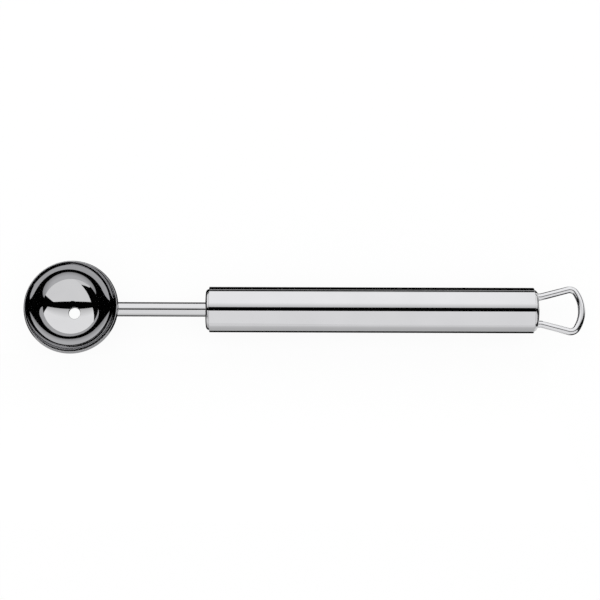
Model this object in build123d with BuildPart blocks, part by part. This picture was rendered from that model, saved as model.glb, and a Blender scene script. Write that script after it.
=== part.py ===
from build123d import *
from math import acos, atan2, cos, degrees, radians, sin, sqrt
import os

# Melon baller, all stainless steel. A round bowl with a ground rim sits on a straight rod, the rod is
# held in a closed tube handle, and a bent wire at the far end hangs the tool up. The bowl opens towards +Z
# and the handle runs along +X. The origin lies under the middle of the tool's length, level with the lowest
# edge of the bowl. Sizes are in millimetres and angles in degrees.

# Bowl
bowl_diameter = 37.2  # across the outside at the rim, before it is ground
bowl_depth = 14.4  # from the rim down to the outside of the bottom
bowl_wall = 1.0
rim_land = 0.2  # flat that the grinding leaves on top of the wall
rim_bevel_depth = 1.4  # how far the grinding reaches down the outside
drain_diameter = 4.5
drain_chamfer = 0.15

# Stem
stem_diameter = 5.5
stem_length = 33.4  # open stretch, from the bowl's side to the handle's front face
stem_drop = 5.4  # from the rim down to the line that the stem and the handle share
stem_seat = 9.0  # stretch that the front plug holds
stem_end_chamfer = 0.4
weld_rounding = 0.6
weld_gap = 0.02  # between the coped end and the bowl, filled by the weld

# Handle
handle_diameter = 17.5
tube_length = 124.8
tube_wall = 0.8
tube_edge_break = 0.15
front_plug_proud = 1.3  # how far each plug stands out of the tube
rear_plug_proud = 1.5
plug_seat = 12.0  # how far each plug reaches into the tube
plug_lead_in = 0.5
fit_clearance = 0.05  # all round each plug, rod and wire end that is seated in a bore
bore_end_gap = 0.5  # between a seated end and the bottom of its bore

# Hanging loop
wire_diameter = 2.7
leg_inset = 3.4  # from the handle's side in to the middle of a leg
leg_seat = 8.0  # stretch of each leg that the rear plug holds
leg_straight = 1.0  # open stretch of each leg before it flares
flare_angle = 15.0
flare_bend_radius = 3.0
corner_bend_radius = 2.8
bow_radius = 12.7
loop_reach = 18.4  # from the handle's rear face to the outside of the bow
wire_end_chamfer = 0.3

# Forms and places that follow from those sizes
bowl_radius = bowl_diameter / 2
outside_radius = (bowl_radius**2 + bowl_depth**2) / (2 * bowl_depth)  # of the whole sphere
inside_radius = outside_radius - bowl_wall
sphere_lift = outside_radius - bowl_depth  # from the rim up to the middle of that sphere
land_edge_radius = sqrt(inside_radius**2 - sphere_lift**2) + rim_land
ground_radius = sqrt(outside_radius**2 - (sphere_lift + rim_bevel_depth) ** 2)  # under the bevel
drain_rim_radius = drain_diameter / 2 + drain_chamfer
handle_radius = handle_diameter / 2
bore_radius = handle_radius - tube_wall
handle_length = front_plug_proud + tube_length + rear_plug_proud
overall_length = 2 * ground_radius + stem_length + handle_length + loop_reach
bowl_x = ground_radius - overall_length / 2
front_face_x = bowl_x + ground_radius + stem_length
tube_front_x = front_face_x + front_plug_proud
tube_rear_x = tube_front_x + tube_length
rear_face_x = tube_rear_x + rear_plug_proud
rim_z = sqrt(outside_radius**2 - drain_rim_radius**2) - sphere_lift  # stands on the drain hole's edge
axis_z = rim_z - stem_drop


def across_handle(x):
    """A plane square to the handle's axis, centred on it and facing the loop."""
    return Plane(origin=(x, 0, axis_z), x_dir=(0, 1, 0), z_dir=(1, 0, 0))


# Bowl: a cap pressed from sheet, inside and outside parts of two spheres with one middle. Its outside is
# ground to a narrow land, which makes the rim a cutting edge, and a hole is punched through its bottom.
with BuildPart() as bowl:
    with BuildSketch(Plane(origin=(bowl_x, 0, rim_z), x_dir=(1, 0, 0), z_dir=(0, -1, 0))):
        with BuildLine():
            bevel_foot_angle = degrees(acos((sphere_lift + rim_bevel_depth) / outside_radius))
            rim_angle = degrees(acos(sphere_lift / inside_radius))
            outside = CenterArc((0, sphere_lift), outside_radius, -90, bevel_foot_angle)
            inside = CenterArc((0, sphere_lift), inside_radius, -90, rim_angle)
            Line(outside @ 0, inside @ 0)
            Polyline(outside @ 1, (land_edge_radius, 0), inside @ 1)
        make_face()
    revolve(axis=Axis((bowl_x, 0, 0), (0, 0, 1)))
    with Locations((bowl_x, 0, 0)):
        Hole(drain_diameter / 2)
    chamfer(bowl.edges(Select.LAST).filter_by(GeomType.CIRCLE), drain_chamfer)
bowl.part.label = "bowl"

# Stem: a straight rod. Its front end is coped to the bowl's outside, and the weld is blended round it. The
# ball that stands in for the bowl's outside is half turned, so that its seam lies away from the rod.
with BuildPart() as stem:
    with BuildSketch(across_handle(bowl_x)):
        Circle(stem_diameter / 2)
    extrude(amount=ground_radius + stem_length + stem_seat)
    chamfer(stem.faces().sort_by(Axis.X)[-1].edges(), stem_end_chamfer)
    with Locations(Location((bowl_x, 0, rim_z + sphere_lift), (0, 0, 180))):
        Sphere(outside_radius)
    fillet(stem.edges().filter_by(GeomType.BSPLINE), weld_rounding)
    with Locations(Location((bowl_x, 0, rim_z + sphere_lift), (0, 0, 180))):
        Sphere(outside_radius + weld_gap, mode=Mode.SUBTRACT)
stem.part.label = "stem"

# Front plug: turned to fit the tube's bore. The part that stands out is rounded all the way to the tube,
# and a blind socket takes the stem.
with BuildPart() as front_plug:
    with BuildSketch(across_handle(front_face_x)):
        Circle(bore_radius - fit_clearance)
    extrude(amount=front_plug_proud + plug_seat)
    fillet(front_plug.faces().sort_by(Axis.X)[0].edges(), front_plug_proud)
    chamfer(front_plug.faces().sort_by(Axis.X)[-1].edges(), plug_lead_in)
    with BuildSketch(across_handle(front_face_x)):
        Circle(stem_diameter / 2 + fit_clearance)
    extrude(amount=stem_seat + bore_end_gap, mode=Mode.SUBTRACT)
front_plug.part.label = "front_plug"

# Handle tube: plain and round, with its edges just broken.
with BuildPart() as handle_tube:
    with BuildSketch(across_handle(tube_front_x)):
        Circle(handle_radius)
        Circle(bore_radius, mode=Mode.SUBTRACT)
    extrude(amount=tube_length)
    outer_edges = handle_tube.edges().filter_by(GeomType.CIRCLE).group_by(SortBy.RADIUS)[-1]
    chamfer(outer_edges, tube_edge_break)
handle_tube.part.label = "handle_tube"

# Rear plug: like the front one, with two blind bores side by side for the legs of the loop.
leg_offset = handle_radius - leg_inset
with BuildPart() as rear_plug:
    with BuildSketch(across_handle(rear_face_x)):
        Circle(bore_radius - fit_clearance)
    extrude(amount=-(rear_plug_proud + plug_seat))
    fillet(rear_plug.faces().sort_by(Axis.X)[-1].edges(), rear_plug_proud)
    chamfer(rear_plug.faces().sort_by(Axis.X)[0].edges(), plug_lead_in)
    with BuildSketch(across_handle(rear_face_x)):
        with Locations((leg_offset, 0), (-leg_offset, 0)):
            Circle(wire_diameter / 2 + fit_clearance)
    extrude(amount=-(leg_seat + bore_end_gap), mode=Mode.SUBTRACT)
rear_plug.part.label = "rear_plug"

# Hanging loop: one wire, bent flat. Each leg leaves its bore straight, flares outwards and turns a tight
# corner into a wide bow. The corner's arc touches the flared stretch and, from inside, the bow's arc, and
# that settles how long the flared stretch is.
bow_centre_x = loop_reach - wire_diameter / 2 - bow_radius
flare = radians(flare_angle)
flare_end_x = leg_straight + flare_bend_radius * sin(flare)
flare_end_y = leg_offset + flare_bend_radius * (1 - cos(flare))
corner_start_x = flare_end_x + corner_bend_radius * sin(flare) - bow_centre_x
corner_start_y = flare_end_y - corner_bend_radius * cos(flare)
along = corner_start_x * cos(flare) + corner_start_y * sin(flare)
beside = corner_start_y * cos(flare) - corner_start_x * sin(flare)
flared_length = sqrt((bow_radius - corner_bend_radius) ** 2 - beside**2) - along
corner_centre_x = corner_start_x + flared_length * cos(flare)
corner_centre_y = corner_start_y + flared_length * sin(flare)
bow_half_angle = degrees(atan2(corner_centre_y, corner_centre_x))
with BuildPart() as hanging_loop:
    with BuildLine(Plane(origin=(rear_face_x, 0, axis_z))) as centre_line:
        leg = Line((-leg_seat, leg_offset), (leg_straight, leg_offset))
        flare_bend = JernArc(leg @ 1, leg % 1, flare_bend_radius, flare_angle)
        flared = PolarLine(flare_bend @ 1, flared_length, direction=flare_bend % 1)
        JernArc(flared @ 1, flared % 1, corner_bend_radius, bow_half_angle - flare_angle - 90)
        mirror(about=Plane.XZ)
        CenterArc((bow_centre_x, 0), bow_radius, -bow_half_angle, 2 * bow_half_angle)
    with BuildSketch(Plane(origin=leg @ 0, z_dir=leg % 0)):
        Circle(wire_diameter / 2)
    sweep()
    chamfer(hanging_loop.edges().group_by(Axis.X)[0], wire_end_chamfer)
hanging_loop.part.label = "hanging_loop"

os.makedirs("parts", exist_ok=True)
export_step(bowl.part, "parts/bowl.step")
export_step(stem.part, "parts/stem.step")
export_step(front_plug.part, "parts/front_plug.step")
export_step(handle_tube.part, "parts/handle_tube.step")
export_step(rear_plug.part, "parts/rear_plug.step")
export_step(hanging_loop.part, "parts/hanging_loop.step")

print("overall length", round(overall_length, 2), "flared stretch", round(flared_length, 2))
for piece in (bowl, stem, front_plug, handle_tube, rear_plug, hanging_loop):
    print(piece.part.label, round(piece.part.volume, 1), piece.part.bounding_box().size)
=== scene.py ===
from math import acos, asin, atan2, cos, hypot, pi, radians, sin, sqrt

import bmesh
import bpy
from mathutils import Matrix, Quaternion, Vector


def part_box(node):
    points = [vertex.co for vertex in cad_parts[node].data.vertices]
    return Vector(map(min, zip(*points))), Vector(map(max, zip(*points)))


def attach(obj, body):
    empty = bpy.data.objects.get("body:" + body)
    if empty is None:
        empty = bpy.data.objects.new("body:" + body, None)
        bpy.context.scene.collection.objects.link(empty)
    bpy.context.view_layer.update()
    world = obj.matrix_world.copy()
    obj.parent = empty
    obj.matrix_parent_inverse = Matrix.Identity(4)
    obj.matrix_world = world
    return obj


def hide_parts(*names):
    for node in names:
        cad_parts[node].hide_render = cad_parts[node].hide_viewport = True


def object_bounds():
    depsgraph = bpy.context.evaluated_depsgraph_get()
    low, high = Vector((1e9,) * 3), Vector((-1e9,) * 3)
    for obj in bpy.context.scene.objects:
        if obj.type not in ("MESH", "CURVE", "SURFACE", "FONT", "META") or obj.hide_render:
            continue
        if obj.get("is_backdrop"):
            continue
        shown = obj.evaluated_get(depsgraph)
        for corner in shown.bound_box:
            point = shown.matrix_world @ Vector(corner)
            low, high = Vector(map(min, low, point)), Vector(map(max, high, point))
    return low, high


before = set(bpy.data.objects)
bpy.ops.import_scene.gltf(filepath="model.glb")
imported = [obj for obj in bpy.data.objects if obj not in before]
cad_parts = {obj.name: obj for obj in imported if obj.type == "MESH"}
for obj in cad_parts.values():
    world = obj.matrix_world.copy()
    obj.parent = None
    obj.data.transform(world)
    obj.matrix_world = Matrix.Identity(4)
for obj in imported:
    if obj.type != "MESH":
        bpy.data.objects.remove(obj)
cad_low, cad_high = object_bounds()

# Bowl. A deep round cap pressed from 1 mm stainless steel sheet and polished to a mirror inside and out. Its
# outside is ground to a narrow land, which makes the rim a cutting edge, and a drain hole is punched through
# its bottom. It is drawn here as the outline of its wall and spun once round its upright axis.
MM = 0.001
along, across, up = Vector((1, 0, 0)), Vector((0, 1, 0)), Vector((0, 0, 1))
same_place = 0.001 * MM  # points closer than this are one point
sharp_from = radians(35)  # edges that turn by more than this stay sharp


def linear(hex_colour):
    """An sRGB hex colour as the linear values that a shader takes."""
    parts = [int(hex_colour[i : i + 2], 16) / 255 for i in (1, 3, 5)]
    return [p / 12.92 if p <= 0.04045 else ((p + 0.055) / 1.055) ** 2.4 for p in parts] + [1]


def add_node(owner, kind, inputs=None, **settings):
    """Adds a node with its settings, and fills or links its inputs."""
    node = owner.node_tree.nodes.new(kind)
    for name, value in settings.items():
        setattr(node, name, value)
    for name, value in (inputs or {}).items():
        if isinstance(value, bpy.types.NodeSocket):
            owner.node_tree.links.new(value, node.inputs[name])
        else:
            node.inputs[name].default_value = value
    return node


def new_material(name):
    """A material with no nodes yet."""
    material = bpy.data.materials.new(name)
    material.use_nodes = True
    material.node_tree.nodes.clear()
    return material


def begin(name, *materials):
    """Starts a piece as one selected point at the origin, in edit mode."""
    bpy.ops.object.select_all(action="DESELECT")
    bpy.ops.mesh.primitive_plane_add(size=MM)
    piece = bpy.context.object
    piece.name = name
    for material in materials:
        piece.data.materials.append(material)
    bpy.ops.object.mode_set(mode="EDIT")
    bpy.ops.mesh.select_all(action="SELECT")
    bpy.ops.mesh.merge(type="CENTER")
    return piece


def pick(test):
    """In edit mode, selects the points that pass the test, and the edges and faces between them."""
    bpy.ops.mesh.select_all(action="DESELECT")
    mesh = bmesh.from_edit_mesh(bpy.context.object.data)
    for point in mesh.verts:
        point.select = test(point.co)
    mesh.select_flush_mode()
    bmesh.update_edit_mesh(bpy.context.object.data)


def at(*places):
    """A test for pick: does the point lie at one of these places?"""
    return lambda point: any((point - place).length < same_place for place in places)


def line_to(*places):
    """Draws straight sides from the selected point through these places."""
    for place in places:
        tip = next(p.co for p in bmesh.from_edit_mesh(bpy.context.object.data).verts if p.select)
        bpy.ops.mesh.extrude_region_move(TRANSFORM_OT_translate={"value": place - tip})


def turn(centre, axis, angle, steps):
    """Carries what is selected round an axis, anticlockwise seen from the axis's tip, and leaves a trail."""
    bpy.ops.mesh.spin(steps=steps, angle=-angle, center=centre, axis=axis)


def close_up():
    """Merges the points that coincide and turns all faces outwards."""
    bpy.ops.mesh.select_all(action="SELECT")
    bpy.ops.mesh.remove_doubles(threshold=same_place)
    bpy.ops.mesh.normals_make_consistent(inside=False)


def spin_round(centre, axis, steps):
    """Turns the drawn outline into a whole round body."""
    bpy.ops.mesh.select_all(action="SELECT")
    turn(centre, axis, 2 * pi, steps)
    close_up()


def hand_over(piece, node):
    """Smooths a finished mesh and puts it in the place of its CAD node."""
    bpy.ops.object.mode_set(mode="OBJECT")
    bpy.ops.object.shade_smooth_by_angle(angle=sharp_from)
    even_normals = piece.modifiers.new("even_normals", "WEIGHTED_NORMAL")
    even_normals.keep_sharp = True
    bpy.ops.object.modifier_apply(modifier=even_normals.name)
    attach(piece, "root")
    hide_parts(node)


# Mirror-polished stainless steel, 18/10. Buffing leaves it almost a perfect mirror, with a trace of haze
# where the wheel passed more often.
bowl_haze_size = 6 * MM
bowl_steel = new_material("mirror_polished_stainless_steel")
spot = add_node(bowl_steel, "ShaderNodeTexCoord").outputs["Object"]
haze = add_node(
    bowl_steel, "ShaderNodeTexNoise", {"Vector": spot, "Scale": 1 / bowl_haze_size, "Detail": 3}
)
tone = add_node(
    bowl_steel,
    "ShaderNodeMix",
    {"Factor": haze.outputs["Fac"], "A": linear("#bebec0"), "B": linear("#c6c6c7")},
    data_type="RGBA",
)
gloss = add_node(
    bowl_steel, "ShaderNodeMapRange", {"Value": haze.outputs["Fac"], "To Min": 0.01, "To Max": 0.04}
)
steel = add_node(
    bowl_steel,
    "ShaderNodeBsdfPrincipled",
    {"Base Color": tone.outputs["Result"], "Metallic": 1, "Roughness": gloss.outputs["Result"]},
)
add_node(bowl_steel, "ShaderNodeOutputMaterial", {"Surface": steel.outputs["BSDF"]})

# The ground rim: a wheel leaves it duller than the polished wall, with fine marks that run round the bowl. It
# reads as a soft grey line between the mirror and the background.
grinding_mark_size = 0.1 * MM
rim_steel = new_material("wheel_ground_stainless_steel")
spot = add_node(rim_steel, "ShaderNodeTexCoord").outputs["Object"]
height = add_node(rim_steel, "ShaderNodeSeparateXYZ", {"Vector": spot}).outputs["Z"]
marks = add_node(
    rim_steel, "ShaderNodeTexNoise", {"W": height, "Scale": 1 / grinding_mark_size}, noise_dimensions="1D"
)
gloss = add_node(
    rim_steel, "ShaderNodeMapRange", {"Value": marks.outputs["Fac"], "To Min": 0.14, "To Max": 0.3}
)
steel = add_node(
    rim_steel,
    "ShaderNodeBsdfPrincipled",
    {"Base Color": linear("#a6a6a8"), "Metallic": 1, "Roughness": gloss.outputs["Result"]},
)
add_node(rim_steel, "ShaderNodeOutputMaterial", {"Surface": steel.outputs["BSDF"]})

bowl_low, bowl_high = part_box("bowl")
rim_centre = Vector(((bowl_low.x + bowl_high.x) / 2, 0, bowl_high.z))
bowl_radius = 18.6 * MM
bowl_depth = 14.4 * MM
bowl_wall = 1.0 * MM
rim_land = 0.2 * MM
rim_bevel_depth = 1.4 * MM
rim_round = 0.06 * MM
drain_radius = 2.25 * MM
drain_round = 0.15 * MM
wall_steps = 80  # from the drain hole up to the rim
bowl_steps = 240  # once round
drain_round_steps = 4
fine_round_steps = 3
outer_radius = (bowl_radius**2 + bowl_depth**2) / (2 * bowl_depth)
inner_radius = outer_radius - bowl_wall
ball_lift = outer_radius - bowl_depth
ball_centre = rim_centre + ball_lift * up


def on_wall(radius, angle):
    """The place on the wall's section at this angle from straight down."""
    return ball_centre + radius * (sin(angle) * along - cos(angle) * up)


outside_from = asin(drain_radius / outer_radius)
outside_to = acos((ball_lift + rim_bevel_depth) / outer_radius)
inside_from = asin(drain_radius / inner_radius)
inside_to = acos(ball_lift / inner_radius)
drain_edges = on_wall(outer_radius, outside_from), on_wall(inner_radius, inside_from)
bevel_foot = on_wall(outer_radius, outside_to)
land_edges = on_wall(inner_radius, inside_to) + rim_land * along, on_wall(inner_radius, inside_to)

bowl = begin("bowl_shell", bowl_steel, rim_steel)
bpy.ops.transform.translate(value=drain_edges[0])
turn(ball_centre, across, outside_from - outside_to, wall_steps)
line_to(*land_edges)
turn(ball_centre, across, inside_to - inside_from, wall_steps)
pick(at(*drain_edges))
bpy.ops.mesh.edge_face_add()
pick(at(*drain_edges))
bpy.ops.mesh.bevel(offset=drain_round, segments=drain_round_steps, affect="VERTICES")
pick(at(bevel_foot, *land_edges))
bpy.ops.mesh.bevel(offset=rim_round, segments=fine_round_steps, affect="VERTICES")
spin_round(rim_centre, up, bowl_steps)
# The bevel and the land take the second material, from the rounding at the bevel's foot to the one inside.
ground_from = bevel_foot.z - rim_round / 2
ground_beyond = inner_radius + rim_round / 2
pick(lambda point: point.z > ground_from and (point - ball_centre).length > ground_beyond)
bowl.active_material_index = 1
bpy.ops.object.material_slot_assign()
hand_over(bowl, "bowl")

# Stem. A straight stainless steel rod, drawn and polished. Its front end is coped to the bowl's outside and
# welded there, with the weld blended to a small flare, and its rear end sits in the front plug.

# Drawn stainless steel rod, polished: the die leaves faint streaks along it, which soften its reflections.
streak_length = 20 * MM
streak_width = 0.7 * MM
stem_steel = new_material("drawn_and_polished_stainless_steel_rod")
spot = add_node(stem_steel, "ShaderNodeTexCoord").outputs["Object"]
stretched = add_node(
    stem_steel,
    "ShaderNodeMapping",
    {"Vector": spot, "Scale": (1 / streak_length, 1 / streak_width, 1 / streak_width)},
)
streaks = add_node(stem_steel, "ShaderNodeTexNoise", {"Vector": stretched.outputs["Vector"], "Scale": 1})
tone = add_node(
    stem_steel,
    "ShaderNodeMix",
    {"Factor": streaks.outputs["Fac"], "A": linear("#c2c2c4"), "B": linear("#cfcfd0")},
    data_type="RGBA",
)
gloss = add_node(
    stem_steel, "ShaderNodeMapRange", {"Value": streaks.outputs["Fac"], "To Min": 0.02, "To Max": 0.07}
)
steel = add_node(
    stem_steel,
    "ShaderNodeBsdfPrincipled",
    {"Base Color": tone.outputs["Result"], "Metallic": 1, "Roughness": gloss.outputs["Result"]},
)
add_node(stem_steel, "ShaderNodeOutputMaterial", {"Surface": steel.outputs["BSDF"]})

stem_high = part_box("stem")[1]
tube_low, tube_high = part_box("handle_tube")
axis_z = (tube_low.z + tube_high.z) / 2
stem_radius = 2.75 * MM
stem_end_chamfer = 0.4 * MM
weld_flare = 0.34 * MM
weld_gap = 0.02 * MM
stem_steps = 96  # once round
flare_steps = 8
foot_share = 1.1  # of the flare: how far back from its flat end the foot's points lie
foot_x = ball_centre.x + sqrt(outer_radius**2 - (ball_centre.z - axis_z) ** 2)


def on_axis(x, radius=0):
    """The place at this distance above the line that the stem and the handle share."""
    return Vector((x, 0, axis_z + radius))


stem = begin("stem_rod", stem_steel)
bpy.ops.transform.translate(value=on_axis(stem_high.x))
line_to(
    on_axis(stem_high.x, stem_radius - stem_end_chamfer),
    on_axis(stem_high.x - stem_end_chamfer, stem_radius),
    on_axis(foot_x + weld_flare, stem_radius),
)
turn(on_axis(foot_x + weld_flare, stem_radius + weld_flare), across, pi / 2, flare_steps)
cap_shares = 0.75, 0.5, 0.25, 0
line_to(*(on_axis(foot_x, (stem_radius + weld_flare) * share) for share in cap_shares))
spin_round(on_axis(foot_x), along, stem_steps)
bpy.ops.object.mode_set(mode="OBJECT")
# The foot was drawn flat, and now its points move along the rod onto the bowl's outside.
for point in stem.data.vertices:
    if point.co.x < foot_x + foot_share * weld_flare:
        beside = hypot(point.co.y, point.co.z - ball_centre.z)
        point.co.x += ball_centre.x + sqrt((outer_radius + weld_gap) ** 2 - beside**2) - foot_x
hand_over(stem, "stem")

# Front plug. A turned stainless steel plug that closes the handle's front. What stands out of the tube is
# rounded over, and a blind socket takes the stem.

# Turned stainless steel, buffed afterwards: what is left of the tool marks are faint rings round the axis.
ring_size = 0.3 * MM
plug_steel = new_material("turned_and_buffed_stainless_steel")
spot = add_node(plug_steel, "ShaderNodeTexCoord").outputs["Object"]
from_axis = add_node(
    plug_steel, "ShaderNodeMapping", {"Vector": spot, "Location": -axis_z * up, "Scale": (0, 1, 1)}
)
radius = add_node(plug_steel, "ShaderNodeVectorMath", operation="LENGTH")
plug_steel.node_tree.links.new(from_axis.outputs["Vector"], radius.inputs[0])
rings = add_node(
    plug_steel,
    "ShaderNodeTexNoise",
    {"W": radius.outputs["Value"], "Scale": 1 / ring_size},
    noise_dimensions="1D",
)
tone = add_node(
    plug_steel,
    "ShaderNodeMix",
    {"Factor": rings.outputs["Fac"], "A": linear("#c0c0c2"), "B": linear("#cbcbcc")},
    data_type="RGBA",
)
gloss = add_node(
    plug_steel, "ShaderNodeMapRange", {"Value": rings.outputs["Fac"], "To Min": 0.03, "To Max": 0.09}
)
steel = add_node(
    plug_steel,
    "ShaderNodeBsdfPrincipled",
    {"Base Color": tone.outputs["Result"], "Metallic": 1, "Roughness": gloss.outputs["Result"]},
)
add_node(plug_steel, "ShaderNodeOutputMaterial", {"Surface": steel.outputs["BSDF"]})

front_low, front_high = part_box("front_plug")
plug_radius = (front_high.z - front_low.z) / 2
plug_lead_in = 0.5 * MM
fit_clearance = 0.05 * MM
bore_end_gap = 0.5 * MM
plug_steps = 192  # once round
shoulder_steps = 16
front_proud = tube_low.x - front_low.x
socket_radius = stem_radius + fit_clearance
front_plug = begin("front_plug_turned", plug_steel)
bpy.ops.transform.translate(value=on_axis(stem_high.x + bore_end_gap))
line_to(
    on_axis(stem_high.x + bore_end_gap, socket_radius),
    on_axis(front_low.x, socket_radius),
    on_axis(front_low.x, plug_radius - front_proud),
)
turn(on_axis(tube_low.x, plug_radius - front_proud), across, pi / 2, shoulder_steps)
line_to(
    on_axis(front_high.x - plug_lead_in, plug_radius),
    on_axis(front_high.x, plug_radius - plug_lead_in),
    on_axis(front_high.x),
)
spin_round(on_axis(front_low.x), along, plug_steps)
hand_over(front_plug, "front_plug")

# Handle. A plain round tube of stainless steel, 0.8 mm thick, with its edges broken. A plug closes each end.

# Stainless steel tube, belt-polished while it turns: hardly visible lines run round it, and fingers and
# cloths leave a trace of haze.
line_width = 0.6 * MM
line_length = 12 * MM
handle_haze_size = 15 * MM
handle_steel = new_material("belt_polished_stainless_steel_tube")
spot = add_node(handle_steel, "ShaderNodeTexCoord").outputs["Object"]
stretched = add_node(
    handle_steel,
    "ShaderNodeMapping",
    {"Vector": spot, "Scale": (1 / line_width, 1 / line_length, 1 / line_length)},
)
lines = add_node(handle_steel, "ShaderNodeTexNoise", {"Vector": stretched.outputs["Vector"], "Scale": 1})
haze = add_node(
    handle_steel, "ShaderNodeTexNoise", {"Vector": spot, "Scale": 1 / handle_haze_size, "Detail": 3}
)
tone = add_node(
    handle_steel,
    "ShaderNodeMix",
    {"Factor": haze.outputs["Fac"], "A": linear("#c6c6c8"), "B": linear("#cfcfd1")},
    data_type="RGBA",
)
gloss = add_node(
    handle_steel, "ShaderNodeMapRange", {"Value": lines.outputs["Fac"], "To Min": 0.01, "To Max": 0.05}
)
steel = add_node(
    handle_steel,
    "ShaderNodeBsdfPrincipled",
    {"Base Color": tone.outputs["Result"], "Metallic": 1, "Roughness": gloss.outputs["Result"]},
)
add_node(handle_steel, "ShaderNodeOutputMaterial", {"Surface": steel.outputs["BSDF"]})

tube_radius = (tube_high.z - tube_low.z) / 2
tube_wall = 0.8 * MM
tube_edge_break = 0.15 * MM
tube_steps = 256  # once round
handle = begin("handle_grip", handle_steel)
tube_corners = [
    on_axis(x, radius)
    for x, radius in (
        (tube_low.x, tube_radius - tube_wall),
        (tube_low.x, tube_radius),
        (tube_high.x, tube_radius),
        (tube_high.x, tube_radius - tube_wall),
    )
]
bpy.ops.transform.translate(value=tube_corners[0])
line_to(*tube_corners[1:])
pick(at(tube_corners[0], tube_corners[3]))
bpy.ops.mesh.edge_face_add()
pick(at(tube_corners[1], tube_corners[2]))
bpy.ops.mesh.bevel(offset=tube_edge_break, segments=fine_round_steps, affect="VERTICES")
spin_round(on_axis(tube_low.x), along, tube_steps)
hand_over(handle, "handle_tube")

# Rear plug. It closes the handle's rear like the front one, and has two blind holes side by side, drilled for
# the legs of the hanging loop.
rear_low, rear_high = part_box("rear_plug")
loop_low, loop_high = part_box("hanging_loop")
wire_radius = (loop_high.z - loop_low.z) / 2
leg_inset = 3.4 * MM
leg_y = tube_radius - leg_inset
rear_proud = rear_high.x - tube_high.x
wire_steps = 64  # once round
rear_plug = begin("rear_plug_turned", plug_steel)
bpy.ops.transform.translate(value=on_axis(rear_low.x))
line_to(
    on_axis(rear_low.x, plug_radius - plug_lead_in),
    on_axis(rear_low.x + plug_lead_in, plug_radius),
    on_axis(tube_high.x, plug_radius),
)
turn(on_axis(tube_high.x, plug_radius - rear_proud), across, pi / 2, shoulder_steps)
line_to(on_axis(rear_high.x))
spin_round(on_axis(rear_low.x), along, plug_steps)
pick(lambda point: point.x > rear_high.x - same_place)
bpy.ops.mesh.dissolve_faces()
bpy.ops.object.mode_set(mode="OBJECT")
for side in (1, -1):
    bpy.ops.mesh.primitive_cylinder_add(
        vertices=wire_steps,
        radius=wire_radius + fit_clearance,
        depth=2 * (rear_high.x - loop_low.x + bore_end_gap),
        location=(rear_high.x, side * leg_y, axis_z),
        rotation=(0, pi / 2, 0),
    )
    drill = bpy.context.object
    hole = rear_plug.modifiers.new("leg_hole", "BOOLEAN")
    hole.object = drill
    bpy.context.view_layer.objects.active = rear_plug
    bpy.ops.object.modifier_apply(modifier=hole.name)
    bpy.data.objects.remove(drill)
rear_plug.select_set(True)
hand_over(rear_plug, "rear_plug")

# Hanging loop. One stainless steel wire, bent flat: each leg leaves its hole straight, flares outwards and
# turns a tight corner into the wide bow.

# Bright-drawn stainless steel wire, a shade paler and softer than the polished pieces.
wire_haze_size = 1.5 * MM
wire_steel = new_material("bright_drawn_stainless_steel_wire")
spot = add_node(wire_steel, "ShaderNodeTexCoord").outputs["Object"]
haze = add_node(wire_steel, "ShaderNodeTexNoise", {"Vector": spot, "Scale": 1 / wire_haze_size})
tone = add_node(
    wire_steel,
    "ShaderNodeMix",
    {"Factor": haze.outputs["Fac"], "A": linear("#cacacc"), "B": linear("#d6d6d8")},
    data_type="RGBA",
)
gloss = add_node(
    wire_steel, "ShaderNodeMapRange", {"Value": haze.outputs["Fac"], "To Min": 0.06, "To Max": 0.14}
)
steel = add_node(
    wire_steel,
    "ShaderNodeBsdfPrincipled",
    {"Base Color": tone.outputs["Result"], "Metallic": 1, "Roughness": gloss.outputs["Result"]},
)
add_node(wire_steel, "ShaderNodeOutputMaterial", {"Surface": steel.outputs["BSDF"]})

wire_end_chamfer = 0.3 * MM
leg_straight = 1.0 * MM
flare = radians(15)
flare_bend_radius = 3.0 * MM
corner_bend_radius = 2.8 * MM
bow_radius = 12.7 * MM
bend_step = radians(2.5)
bow_centre_x = loop_high.x - wire_radius - bow_radius
corner_x = rear_high.x + leg_straight + (flare_bend_radius + corner_bend_radius) * sin(flare) - bow_centre_x
corner_y = leg_y + flare_bend_radius - (flare_bend_radius + corner_bend_radius) * cos(flare)
reach = corner_x * cos(flare) + corner_y * sin(flare)
offset = corner_y * cos(flare) - corner_x * sin(flare)
flared_length = sqrt((bow_radius - corner_bend_radius) ** 2 - offset**2) - reach
bow_half_angle = atan2(corner_y + flared_length * sin(flare), corner_x + flared_length * cos(flare))
corner_angle = pi / 2 + flare - bow_half_angle

bpy.ops.object.select_all(action="DESELECT")
bpy.ops.mesh.primitive_circle_add(
    vertices=wire_steps,
    radius=wire_radius,
    location=(loop_low.x, leg_y, axis_z),
    rotation=(0, pi / 2, 0),
)
loop = bpy.context.object
loop.name = "hanging_loop_wire"
loop.data.materials.append(wire_steel)
bpy.ops.object.transform_apply()
bpy.ops.object.mode_set(mode="EDIT")
bpy.ops.mesh.select_all(action="SELECT")
tip, heading = Vector((loop_low.x, leg_y, axis_z)), 0
half_of_wire = [
    ("run", rear_high.x - loop_low.x + leg_straight, 0),
    ("bend", flare_bend_radius, flare),
    ("run", flared_length, 0),
    ("bend", corner_bend_radius, -corner_angle),
]
bow = [("bend", bow_radius, -2 * bow_half_angle)]
for kind, size, angle in half_of_wire + bow + half_of_wire[::-1]:
    if kind == "run":
        way = Quaternion(up, heading) @ along
        bpy.ops.mesh.extrude_region_move(TRANSFORM_OT_translate={"value": size * way})
        tip = tip + size * way
    else:
        side = 1 if angle > 0 else -1
        centre = tip + side * size * (Quaternion(up, heading) @ across)
        turn(centre, up, angle, round(abs(angle) / bend_step))
        tip = centre + Quaternion(up, angle) @ (tip - centre)
        heading += angle
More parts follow.
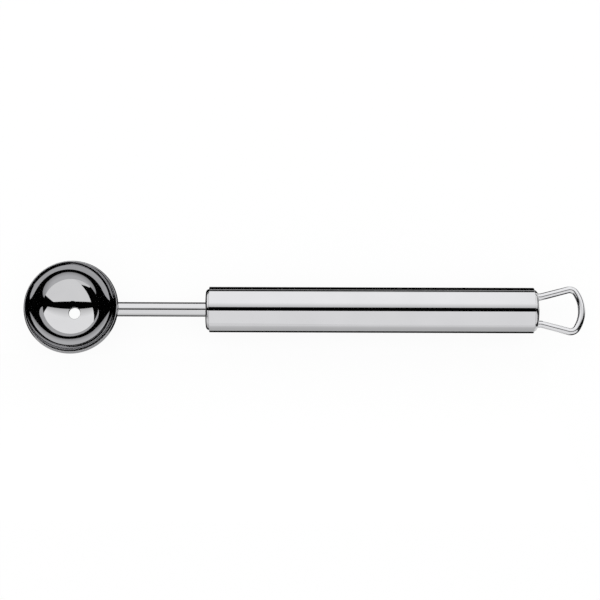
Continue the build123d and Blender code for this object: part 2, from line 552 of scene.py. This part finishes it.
for side in (1, -1):
    pick(lambda point: point.x < loop_low.x + same_place and side * point.y > 0)
    bpy.ops.mesh.edge_face_add()
pick(lambda point: point.x < loop_low.x + same_place)
bpy.ops.mesh.bevel(offset=wire_end_chamfer, segments=1)
close_up()
hand_over(loop, "hanging_loop")

# The studio: a pale floor, two soft boxes with a gap between them that the camera looks through, and black
# cards that give the polished steel its dark edges. The cards and the boxes are out of the camera's sight.

# White paper, matt. Where the camera, a reflection or a clear thing shows it, most of it is an even glow, so
# that it reads as white. The small rest is its own shade, which keeps a trace of the tool's shadow.
mirrored_glow_share = 0.8
seen_glow_share = 0.92
floor_size = 6
floor_drop = 0.05 * MM  # below the object's lowest point
floor_paper = new_material("white_floor_paper")
rays = add_node(floor_paper, "ShaderNodeLightPath").outputs
mirrored_share = add_node(
    floor_paper, "ShaderNodeMapRange", {"Value": rays["Is Glossy Ray"], "To Max": mirrored_glow_share}
)
clear_share = add_node(
    floor_paper,
    "ShaderNodeMapRange",
    {
        "Value": rays["Is Transmission Ray"],
        "To Min": mirrored_share.outputs["Result"],
        "To Max": seen_glow_share,
    },
)
glow_share = add_node(
    floor_paper,
    "ShaderNodeMapRange",
    {"Value": rays["Is Camera Ray"], "To Min": clear_share.outputs["Result"], "To Max": seen_glow_share},
)
paper = add_node(floor_paper, "ShaderNodeBsdfDiffuse", {"Color": linear("#f4f4f4")})
glow = add_node(floor_paper, "ShaderNodeEmission", {"Strength": 1})
mixed = add_node(floor_paper, "ShaderNodeMixShader", {"Fac": glow_share.outputs["Result"]})
floor_paper.node_tree.links.new(paper.outputs[0], mixed.inputs[1])
floor_paper.node_tree.links.new(glow.outputs[0], mixed.inputs[2])
add_node(floor_paper, "ShaderNodeOutputMaterial", {"Surface": mixed.outputs[0]})
bpy.ops.mesh.primitive_plane_add(size=floor_size, location=(0, 0, cad_low.z - floor_drop))
floor = bpy.context.object
floor.name = "floor"
floor.data.materials.append(floor_paper)
floor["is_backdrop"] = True


def card(name, material, *corners):
    """A flat card or soft box through four corners, which the camera doesn't see."""
    mesh = bpy.data.meshes.new(name)
    mesh.from_pydata(corners, [], [(0, 1, 2, 3)])
    mesh.materials.append(material)
    panel = bpy.data.objects.new(name, mesh)
    bpy.context.scene.collection.objects.link(panel)
    panel.visible_camera = panel.visible_shadow = False
    panel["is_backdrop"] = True
    return panel


def glowing_cloth_or_painted_shade(name, edge_strength, strength, edge, inside):
    """A glowing sheet, either a soft box's lit cloth or a card of painted floor shade. Its strength changes
    from the edge, at this Y, to its even inside, at that Y.
    """
    cloth = new_material(name)
    spot = add_node(cloth, "ShaderNodeTexCoord").outputs["Object"]
    way_in = add_node(cloth, "ShaderNodeSeparateXYZ", {"Vector": spot}).outputs["Y"]
    glow = add_node(
        cloth,
        "ShaderNodeMapRange",
        {"Value": way_in, "From Min": edge, "From Max": inside, "To Min": edge_strength, "To Max": strength},
    )
    light = add_node(cloth, "ShaderNodeEmission", {"Strength": glow.outputs["Result"]})
    add_node(cloth, "ShaderNodeOutputMaterial", {"Surface": light.outputs[0]})
    return cloth


# Black card, matt: the dark lines and bands that the polished steel shows are this card.
black_card = new_material("black_card")
black = add_node(black_card, "ShaderNodeBsdfDiffuse", {"Color": linear("#050505")})
add_node(black_card, "ShaderNodeOutputMaterial", {"Surface": black.outputs[0]})

# The soft boxes lean outwards from the gap above the tool down to the floor, and the northern one is dimmer
# beside the gap. South of the tool, a glowing card that only the steel's reflections show paints the floor's
# shade, darker towards the tool.
box_top, box_foot = 0.50, 0.60
gap_north, gap_south = 0.012, -0.150
dim_edge_width = 0.15
shade_north, shade_south = -0.016, -0.080
card(
    "soft_box_north",
    glowing_cloth_or_painted_shade(
        "soft_box_north_cloth",
        edge_strength=0.75,
        strength=1.3,
        edge=gap_north,
        inside=gap_north + dim_edge_width,
    ),
    (-0.72, gap_north, box_top),
    (0.95, gap_north, box_top),
    (0.40, box_foot, 0),
    (-0.40, box_foot, 0),
)
card(
    "soft_box_south",
    glowing_cloth_or_painted_shade(
        "soft_box_south_cloth",
        edge_strength=1.1,
        strength=1.1,
        edge=gap_south,
        inside=gap_south - dim_edge_width,
    ),
    (-0.66, gap_south, box_top),
    (0.42, gap_south, box_top),
    (1.20, -box_foot, 0),
    (0.05, -box_foot, 0),
)
# Painted shade: this glowing card, dimmer towards the tool, stands in for the floor's shade that the steel
# mirrors.
card(
    "painted_floor_shade_card",
    glowing_cloth_or_painted_shade(
        "painted_floor_shade_glow",
        edge_strength=0.62,
        strength=0.95,
        edge=shade_north,
        inside=shade_south,
    ),
    (-0.6, shade_north, 0),
    (0.0917, shade_north, 0),
    (0.1092, shade_south, 0),
    (-0.6, shade_south, 0),
)

# The black cards: some lie on the floor round the tool, one hangs above and one by the camera, and two stand
# at the sides. They take no light away from the floor.
flags = {
    "flag_floor_east": [(0.113, -0.09, 0), (0.35, -0.09, 0), (0.35, 0.003, 0), (0.0955, 0.003, 0)],
    "flag_floor_corner": [(0.120, 0.046, 0), (0.35, 0.046, 0), (0.35, 0.16, 0), (0.120, 0.16, 0)],
    "flag_by_camera": [
        (-0.145, -0.190, 0.49),
        (-0.066, -0.190, 0.49),
        (-0.066, 0.030, 0.49),
        (-0.145, 0.030, 0.49),
    ],
    "flag_above": [(-1.2, -1, 0.55), (1.2, -1, 0.55), (1.2, 1, 0.55), (-1.2, 1, 0.55)],
    "flag_west": [(-0.9, -0.8, 0), (-0.9, 0.8, 0), (-0.9, 0.8, 0.6), (-0.9, -0.8, 0.6)],
    "flag_east": [(0.75, -0.8, 0), (0.75, 0.8, 0), (0.75, 0.8, 0.6), (0.75, -0.8, 0.6)],
    "flag_floor_near": [(-0.6, -0.0155, 0), (0.0887, -0.0155, 0), (0.105, 0.041, 0), (-0.6, 0.041, 0)],
    "flag_floor_far": [(-0.6, 0.046, 0), (0.0947, 0.046, 0), (0.1062, 0.13, 0), (-0.6, 0.13, 0)],
}
for name, corners in flags.items():
    flag = card(name, black_card, *corners)
    flag.visible_diffuse = False

world = bpy.data.worlds.new("studio")
world.use_nodes = True
world.node_tree.nodes["Background"].inputs["Color"].default_value = (1, 1, 1, 1)
world.node_tree.nodes["Background"].inputs["Strength"].default_value = 1
bpy.context.scene.world = world

# Camera: high above and a little to the south, tilted to look at the tool, with a long lens.
elevation = radians(78)
roll = radians(0.19)
distance = 0.75
aim = Vector((-1.95 * MM, 3.88 * MM, axis_z))
focal_length = 116.7
camera_data = bpy.data.cameras.new("camera")
camera_data.lens = focal_length
camera = bpy.data.objects.new("camera", camera_data)
camera.location = aim + distance * (sin(elevation) * up - cos(elevation) * across)
camera.rotation_mode = "QUATERNION"
camera.rotation_quaternion = Quaternion(along, pi / 2 - elevation) @ Quaternion(up, roll)
bpy.context.scene.collection.objects.link(camera)
bpy.context.scene.camera = camera
bpy.context.scene.view_settings.view_transform = "Standard"

size = {"cad": [list(cad_low), list(cad_high)], "visual": [list(corner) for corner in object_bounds()]}
